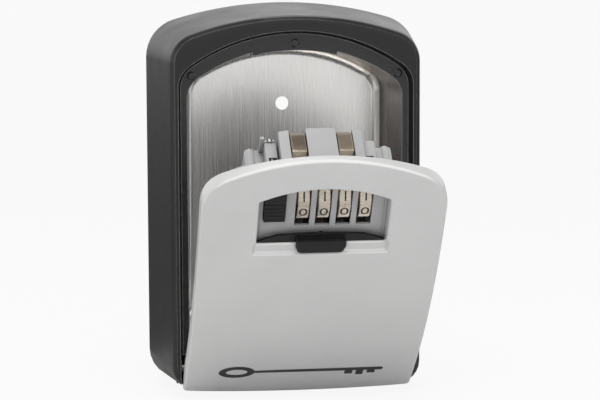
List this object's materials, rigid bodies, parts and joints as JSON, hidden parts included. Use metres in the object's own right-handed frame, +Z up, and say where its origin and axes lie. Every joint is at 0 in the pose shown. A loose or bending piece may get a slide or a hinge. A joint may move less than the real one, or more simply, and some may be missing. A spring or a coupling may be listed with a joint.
{
  "type": "key lock box",
  "caption": "Wall-mounted key lock box: steel-lined casing, drop-down hinged door with combination dials, sliding weather shutter, release button and latch bolts.",
  "frame": {"origin": "on the wall face, midway between the two middle wall screw holes", "axes": "+X to the right seen from the front, +Y into the wall, +Z up"},
  "size_m": [0.105, 0.1219, 0.146],
  "materials": {
    "casing": "dark grey moulded, fine texture",
    "frame": "black powder coat, fine texture",
    "pan": "vertical brushed grain",
    "door": "satin light grey",
    "lock_body": "matt light grey",
    "faceplate": "satin mid grey",
    "dial": "nickel, worn warm",
    "cam": "turned",
    "steel": "plain bright",
    "bolt": "pressed, aged",
    "black": "satin black"
  },
  "bodies": {
    "housing": {"outer_casing": "casing", "front_frame": "frame", "steel_pan": "pan", "frame_rivets": "frame", "hinge_pins": "steel"},
    "door": {"door_panel": "door", "door_liner": "lock_body", "faceplate": "faceplate", "lock_case": "lock_body", "case_cover": "lock_body", "cover_screws": "steel", "case_screw": "steel", "dial_shaft": "steel", "detent_spring": "steel", "release_spring": "steel"},
    "shutter": {"shutter": "black"},
    "latch": {"release_button": "black", "release_bar": "steel", "fence_comb": "steel", "latch_bolts": "bolt"},
    "reset": {"reset_lever": "black"},
    "dial_1_set": {"dial_1": "dial", "cam_1": "cam"},
    "dial_2_set": {"dial_2": "dial", "cam_2": "cam"},
    "dial_3_set": {"dial_3": "dial", "cam_3": "cam"},
    "dial_4_set": {"dial_4": "dial", "cam_4": "cam"}
  },
  "joints": [
    {"name": "door_hinge", "type": "hinge", "parent": "housing", "child": "door", "pos_m": [0, -0.0341, -0.0624], "axis": [1, 0, 0], "range_deg": [-41.2, 45]},
    {"name": "shutter_slide", "type": "hinge", "parent": "door", "child": "shutter", "pos_m": [0, 0.11002, 0.14228], "axis": [-1, 0, 0], "range_deg": [0, 4.9]},
    {"name": "release_slide", "type": "slide", "parent": "door", "child": "latch", "axis": [0, -0.5307, 0.8475], "range_m": [0, 0.0042]},
    {"name": "reset_slide", "type": "slide", "parent": "door", "child": "reset", "axis": [1, 0, 0], "range_m": [0, 0.006]},
    {"name": "dial_1_turn", "type": "hinge", "parent": "door", "child": "dial_1_set", "pos_m": [0, -0.09843, 0.01259], "axis": [1, 0, 0], "continuous": true},
    {"name": "dial_2_turn", "type": "hinge", "parent": "door", "child": "dial_2_set", "pos_m": [0, -0.09843, 0.01259], "axis": [1, 0, 0], "continuous": true},
    {"name": "dial_3_turn", "type": "hinge", "parent": "door", "child": "dial_3_set", "pos_m": [0, -0.09843, 0.01259], "axis": [1, 0, 0], "continuous": true},
    {"name": "dial_4_turn", "type": "hinge", "parent": "door", "child": "dial_4_set", "pos_m": [0, -0.09843, 0.01259], "axis": [1, 0, 0], "continuous": true}
  ]
}
